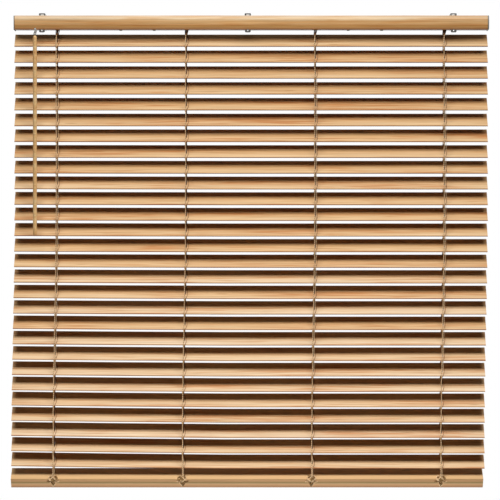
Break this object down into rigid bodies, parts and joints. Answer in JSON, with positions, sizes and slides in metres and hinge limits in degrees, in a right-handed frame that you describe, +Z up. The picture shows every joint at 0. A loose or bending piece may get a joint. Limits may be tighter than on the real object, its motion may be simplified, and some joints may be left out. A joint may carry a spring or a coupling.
{
  "type": "venetian blind",
  "caption": "Bamboo venetian blind: convex headrail fascia, tilting slats on string ladders, bottom rail, worm tilter with a hanging wand, clamp brackets",
  "frame": {"origin": "the middle of the ceiling face of the middle bracket, which the whole blind hangs from", "axes": "+X to the right seen from the room, -Y into the room, +Z up; the slats run along X"},
  "size_m": [0.95, 0.0549, 0.9486],
  "materials": {
    "bamboo_slat": "clear satin lacquer over pale bamboo",
    "bamboo_fascia": "clear lacquer over a convex bamboo strip",
    "bamboo_rail": "clear satin lacquer over laminated bamboo",
    "wand_wood": "lacquered hardwood",
    "ladder_string": "braided polyester string, beige",
    "lift_cord": "braided polyester cord, brown",
    "zinc_steel": "zinc-plated steel",
    "bracket_steel": "dark enamelled sheet steel",
    "grey_plastic": "grey moulded plastic",
    "gear_plastic": "natural acetal"
  },
  "bodies": {
    "headrail": {"headrail_channel": "zinc_steel", "fascia": "bamboo_fascia", "end_cap_left": "grey_plastic", "end_cap_right": "grey_plastic", "tilter_housing": "gear_plastic", "spring_motor_left": "grey_plastic", "spring_motor_right": "grey_plastic", "bracket_left": "bracket_steel", "bracket_middle": "bracket_steel", "bracket_right": "bracket_steel", "lift_cord_1": "lift_cord", "lift_cord_2": "lift_cord", "lift_cord_3": "lift_cord", "lift_cord_4": "lift_cord"},
    "tilt_rod": {"tilt_rod": "zinc_steel", "worm_wheel": "gear_plastic"},
    "worm": {"worm_shaft": "gear_plastic"},
    "link": {"wand_link": "grey_plastic"},
    "wand": {"wand": "wand_wood", "wand_eye": "zinc_steel"},
    "slat_01": {"slat_01": "bamboo_slat"},
    "slat_02": {"slat_02": "bamboo_slat"},
    "slat_03": {"slat_03": "bamboo_slat"},
    "slat_04": {"slat_04": "bamboo_slat"},
    "slat_05": {"slat_05": "bamboo_slat"},
    "slat_06": {"slat_06": "bamboo_slat"},
    "slat_07": {"slat_07": "bamboo_slat"},
    "slat_08": {"slat_08": "bamboo_slat"},
    "slat_09": {"slat_09": "bamboo_slat"},
    "slat_10": {"slat_10": "bamboo_slat"},
    "slat_11": {"slat_11": "bamboo_slat"},
    "slat_12": {"slat_12": "bamboo_slat"},
    "slat_13": {"slat_13": "bamboo_slat"},
    "slat_14": {"slat_14": "bamboo_slat"},
    "slat_15": {"slat_15": "bamboo_slat"},
    "slat_16": {"slat_16": "bamboo_slat"},
    "slat_17": {"slat_17": "bamboo_slat"},
    "slat_18": {"slat_18": "bamboo_slat"},
    "slat_19": {"slat_19": "bamboo_slat"},
    "slat_20": {"slat_20": "bamboo_slat"},
    "slat_21": {"slat_21": "bamboo_slat"},
    "slat_22": {"slat_22": "bamboo_slat"},
    "slat_23": {"slat_23": "bamboo_slat"},
    "slat_24": {"slat_24": "bamboo_slat"},
    "slat_25": {"slat_25": "bamboo_slat"},
    "slat_26": {"slat_26": "bamboo_slat"},
    "slat_27": {"slat_27": "bamboo_slat"},
    "slat_28": {"slat_28": "bamboo_slat"},
    "bottom_rail": {"bottom_rail": "bamboo_rail"},
    "front_strings": {"ladder_front_1": "ladder_string", "ladder_front_2": "ladder_string", "ladder_front_3": "ladder_string", "ladder_front_4": "ladder_string"},
    "rear_strings": {"ladder_rear_1": "ladder_string", "ladder_rear_2": "ladder_string", "ladder_rear_3": "ladder_string", "ladder_rear_4": "ladder_string"},
    "lever_left": {"bracket_lever_left": "bracket_steel"},
    "lever_middle": {"bracket_lever_middle": "bracket_steel"},
    "lever_right": {"bracket_lever_right": "bracket_steel"}
  },
  "joints": [
    {"name": "tilt_rod_turn", "type": "hinge", "parent": "headrail", "child": "tilt_rod", "pos_m": [-0.425, 0.0025, -0.0165], "axis": [1, 0, 0], "range_deg": [-202.5, 45], "deforming": ["ladder_front_1", "ladder_front_2", "ladder_front_3", "ladder_front_4", "ladder_rear_1", "ladder_rear_2", "ladder_rear_3", "ladder_rear_4", "lift_cord_1", "lift_cord_2", "lift_cord_3", "lift_cord_4"]},
    {"name": "worm_turn", "type": "hinge", "parent": "headrail", "child": "worm", "pos_m": [-0.425, -0.00703, -0.011], "axis": [0, 0.5, 0.866], "range_deg": [-3241, 721]},
    {"name": "link_turn", "type": "hinge", "parent": "headrail", "child": "link", "pos_m": [-0.425, -0.02204, -0.037], "axis": [0, 0, 1], "range_deg": [-3241, 721]},
    {"name": "wand_swing", "type": "hinge", "parent": "link", "child": "wand", "pos_m": [-0.425, -0.02204, -0.0422], "axis": [1, 0, 0], "range_deg": [-75, 0]},
    {"name": "slat_01_tilt", "type": "hinge", "parent": "headrail", "child": "slat_01", "pos_m": [0, 0.0025, -0.0536], "axis": [1, 0, 0], "range_deg": [-116.71, 26.71]},
    {"name": "slat_02_tilt", "type": "hinge", "parent": "headrail", "child": "slat_02", "pos_m": [0, 0.0025, -0.0854], "axis": [1, 0, 0], "range_deg": [-116.71, 26.71]},
    {"name": "slat_03_tilt", "type": "hinge", "parent": "headrail", "child": "slat_03", "pos_m": [0, 0.0025, -0.11715], "axis": [1, 0, 0], "range_deg": [-116.71, 26.71]},
    {"name": "slat_04_tilt", "type": "hinge", "parent": "headrail", "child": "slat_04", "pos_m": [0, 0.0025, -0.14885], "axis": [1, 0, 0], "range_deg": [-116.71, 26.71]},
    {"name": "slat_05_tilt", "type": "hinge", "parent": "headrail", "child": "slat_05", "pos_m": [0, 0.0025, -0.1805], "axis": [1, 0, 0], "range_deg": [-116.71, 26.71]},
    {"name": "slat_06_tilt", "type": "hinge", "parent": "headrail", "child": "slat_06", "pos_m": [0, 0.0025, -0.2121], "axis": [1, 0, 0], "range_deg": [-116.71, 26.71]},
    {"name": "slat_07_tilt", "type": "hinge", "parent": "headrail", "child": "slat_07", "pos_m": [0, 0.0025, -0.24365], "axis": [1, 0, 0], "range_deg": [-116.71, 26.71]},
    {"name": "slat_08_tilt", "type": "hinge", "parent": "headrail", "child": "slat_08", "pos_m": [0, 0.0025, -0.27515], "axis": [1, 0, 0], "range_deg": [-116.71, 26.71]},
    {"name": "slat_09_tilt", "type": "hinge", "parent": "headrail", "child": "slat_09", "pos_m": [0, 0.0025, -0.3066], "axis": [1, 0, 0], "range_deg": [-116.71, 26.71]},
    {"name": "slat_10_tilt", "type": "hinge", "parent": "headrail", "child": "slat_10", "pos_m": [0, 0.0025, -0.338], "axis": [1, 0, 0], "range_deg": [-116.71, 26.71]},
    {"name": "slat_11_tilt", "type": "hinge", "parent": "headrail", "child": "slat_11", "pos_m": [0, 0.0025, -0.36935], "axis": [1, 0, 0], "range_deg": [-116.71, 26.71]},
    {"name": "slat_12_tilt", "type": "hinge", "parent": "headrail", "child": "slat_12", "pos_m": [0, 0.0025, -0.40065], "axis": [1, 0, 0], "range_deg": [-116.71, 26.71]},
    {"name": "slat_13_tilt", "type": "hinge", "parent": "headrail", "child": "slat_13", "pos_m": [0, 0.0025, -0.4319], "axis": [1, 0, 0], "range_deg": [-116.71, 26.71]},
    {"name": "slat_14_tilt", "type": "hinge", "parent": "headrail", "child": "slat_14", "pos_m": [0, 0.0025, -0.4631], "axis": [1, 0, 0], "range_deg": [-116.71, 26.71]},
    {"name": "slat_15_tilt", "type": "hinge", "parent": "headrail", "child": "slat_15", "pos_m": [0, 0.0025, -0.49425], "axis": [1, 0, 0], "range_deg": [-116.71, 26.71]},
    {"name": "slat_16_tilt", "type": "hinge", "parent": "headrail", "child": "slat_16", "pos_m": [0, 0.0025, -0.52535], "axis": [1, 0, 0], "range_deg": [-116.71, 26.71]},
    {"name": "slat_17_tilt", "type": "hinge", "parent": "headrail", "child": "slat_17", "pos_m": [0, 0.0025, -0.5564], "axis": [1, 0, 0], "range_deg": [-116.71, 26.71]},
    {"name": "slat_18_tilt", "type": "hinge", "parent": "headrail", "child": "slat_18", "pos_m": [0, 0.0025, -0.5874], "axis": [1, 0, 0], "range_deg": [-116.71, 26.71]},
    {"name": "slat_19_tilt", "type": "hinge", "parent": "headrail", "child": "slat_19", "pos_m": [0, 0.0025, -0.61835], "axis": [1, 0, 0], "range_deg": [-116.71, 26.71]},
    {"name": "slat_20_tilt", "type": "hinge", "parent": "headrail", "child": "slat_20", "pos_m": [0, 0.0025, -0.64925], "axis": [1, 0, 0], "range_deg": [-116.71, 26.71]},
    {"name": "slat_21_tilt", "type": "hinge", "parent": "headrail", "child": "slat_21", "pos_m": [0, 0.0025, -0.6801], "axis": [1, 0, 0], "range_deg": [-116.71, 26.71]},
    {"name": "slat_22_tilt", "type": "hinge", "parent": "headrail", "child": "slat_22", "pos_m": [0, 0.0025, -0.7109], "axis": [1, 0, 0], "range_deg": [-116.71, 26.71]},
    {"name": "slat_23_tilt", "type": "hinge", "parent": "headrail", "child": "slat_23", "pos_m": [0, 0.0025, -0.74165], "axis": [1, 0, 0], "range_deg": [-116.71, 26.71]},
    {"name": "slat_24_tilt", "type": "hinge", "parent": "headrail", "child": "slat_24", "pos_m": [0, 0.0025, -0.77235], "axis": [1, 0, 0], "range_deg": [-116.71, 26.71]},
    {"name": "slat_25_tilt", "type": "hinge", "parent": "headrail", "child": "slat_25", "pos_m": [0, 0.0025, -0.803], "axis": [1, 0, 0], "range_deg": [-116.71, 26.71]},
    {"name": "slat_26_tilt", "type": "hinge", "parent": "headrail", "child": "slat_26", "pos_m": [0, 0.0025, -0.8336], "axis": [1, 0, 0], "range_deg": [-116.71, 26.71]},
    {"name": "slat_27_tilt", "type": "hinge", "parent": "headrail", "child": "slat_27", "pos_m": [0, 0.0025, -0.86415], "axis": [1, 0, 0], "range_deg": [-116.71, 26.71]},
    {"name": "slat_28_tilt", "type": "hinge", "parent": "headrail", "child": "slat_28", "pos_m": [0, 0.0025, -0.89465], "axis": [1, 0, 0], "range_deg": [-116.71, 26.71]},
    {"name": "bottom_rail_tilt", "type": "hinge", "parent": "headrail", "child": "bottom_rail", "pos_m": [0, 0.0025, -0.92105], "axis": [1, 0, 0], "range_deg": [-116.71, 26.71]},
    {"name": "front_strings_shift", "type": "hinge", "parent": "slat_01", "child": "front_strings", "pos_m": [0, -0.01201, -0.06737], "axis": [1, 0, 0], "range_deg": [-26.71, 116.71]},
    {"name": "rear_strings_shift", "type": "hinge", "parent": "slat_01", "child": "rear_strings", "pos_m": [0, 0.01701, -0.03983], "axis": [1, 0, 0], "range_deg": [-26.71, 116.71]},
    {"name": "lever_left_swivel", "type": "hinge", "parent": "headrail", "child": "lever_left", "pos_m": [-0.411, -0.009, -0.0334], "axis": [0, 0, 1], "range_deg": [0, 90]},
    {"name": "lever_middle_swivel", "type": "hinge", "parent": "headrail", "child": "lever_middle", "pos_m": [0, -0.009, -0.0334], "axis": [0, 0, 1], "range_deg": [0, 90]},
    {"name": "lever_right_swivel", "type": "hinge", "parent": "headrail", "child": "lever_right", "pos_m": [0.411, -0.009, -0.0334], "axis": [0, 0, 1], "range_deg": [0, 90]}
  ],
  "couplings": [
    {"joint": "worm_turn", "follows": "tilt_rod_turn", "ratio": 16},
    {"joint": "link_turn", "follows": "tilt_rod_turn", "ratio": 16},
    {"joint": "slat_01_tilt", "follows": "tilt_rod_turn", "ratio": 0.57143},
    {"joint": "slat_02_tilt", "follows": "tilt_rod_turn", "ratio": 0.57143},
    {"joint": "slat_03_tilt", "follows": "tilt_rod_turn", "ratio": 0.57143},
    {"joint": "slat_04_tilt", "follows": "tilt_rod_turn", "ratio": 0.57143},
    {"joint": "slat_05_tilt", "follows": "tilt_rod_turn", "ratio": 0.57143},
    {"joint": "slat_06_tilt", "follows": "tilt_rod_turn", "ratio": 0.57143},
    {"joint": "slat_07_tilt", "follows": "tilt_rod_turn", "ratio": 0.57143},
    {"joint": "slat_08_tilt", "follows": "tilt_rod_turn", "ratio": 0.57143},
    {"joint": "slat_09_tilt", "follows": "tilt_rod_turn", "ratio": 0.57143},
    {"joint": "slat_10_tilt", "follows": "tilt_rod_turn", "ratio": 0.57143},
    {"joint": "slat_11_tilt", "follows": "tilt_rod_turn", "ratio": 0.57143},
    {"joint": "slat_12_tilt", "follows": "tilt_rod_turn", "ratio": 0.57143},
    {"joint": "slat_13_tilt", "follows": "tilt_rod_turn", "ratio": 0.57143},
    {"joint": "slat_14_tilt", "follows": "tilt_rod_turn", "ratio": 0.57143},
    {"joint": "slat_15_tilt", "follows": "tilt_rod_turn", "ratio": 0.57143},
    {"joint": "slat_16_tilt", "follows": "tilt_rod_turn", "ratio": 0.57143},
    {"joint": "slat_17_tilt", "follows": "tilt_rod_turn", "ratio": 0.57143},
    {"joint": "slat_18_tilt", "follows": "tilt_rod_turn", "ratio": 0.57143},
    {"joint": "slat_19_tilt", "follows": "tilt_rod_turn", "ratio": 0.57143},
    {"joint": "slat_20_tilt", "follows": "tilt_rod_turn", "ratio": 0.57143},
    {"joint": "slat_21_tilt", "follows": "tilt_rod_turn", "ratio": 0.57143},
    {"joint": "slat_22_tilt", "follows": "tilt_rod_turn", "ratio": 0.57143},
    {"joint": "slat_23_tilt", "follows": "tilt_rod_turn", "ratio": 0.57143},
    {"joint": "slat_24_tilt", "follows": "tilt_rod_turn", "ratio": 0.57143},
    {"joint": "slat_25_tilt", "follows": "tilt_rod_turn", "ratio": 0.57143},
    {"joint": "slat_26_tilt", "follows": "tilt_rod_turn", "ratio": 0.57143},
    {"joint": "slat_27_tilt", "follows": "tilt_rod_turn", "ratio": 0.57143},
    {"joint": "slat_28_tilt", "follows": "tilt_rod_turn", "ratio": 0.57143},
    {"joint": "bottom_rail_tilt", "follows": "tilt_rod_turn", "ratio": 0.57143},
    {"joint": "front_strings_shift", "follows": "tilt_rod_turn", "ratio": -0.57143},
    {"joint": "rear_strings_shift", "follows": "tilt_rod_turn", "ratio": -0.57143}
  ]
}
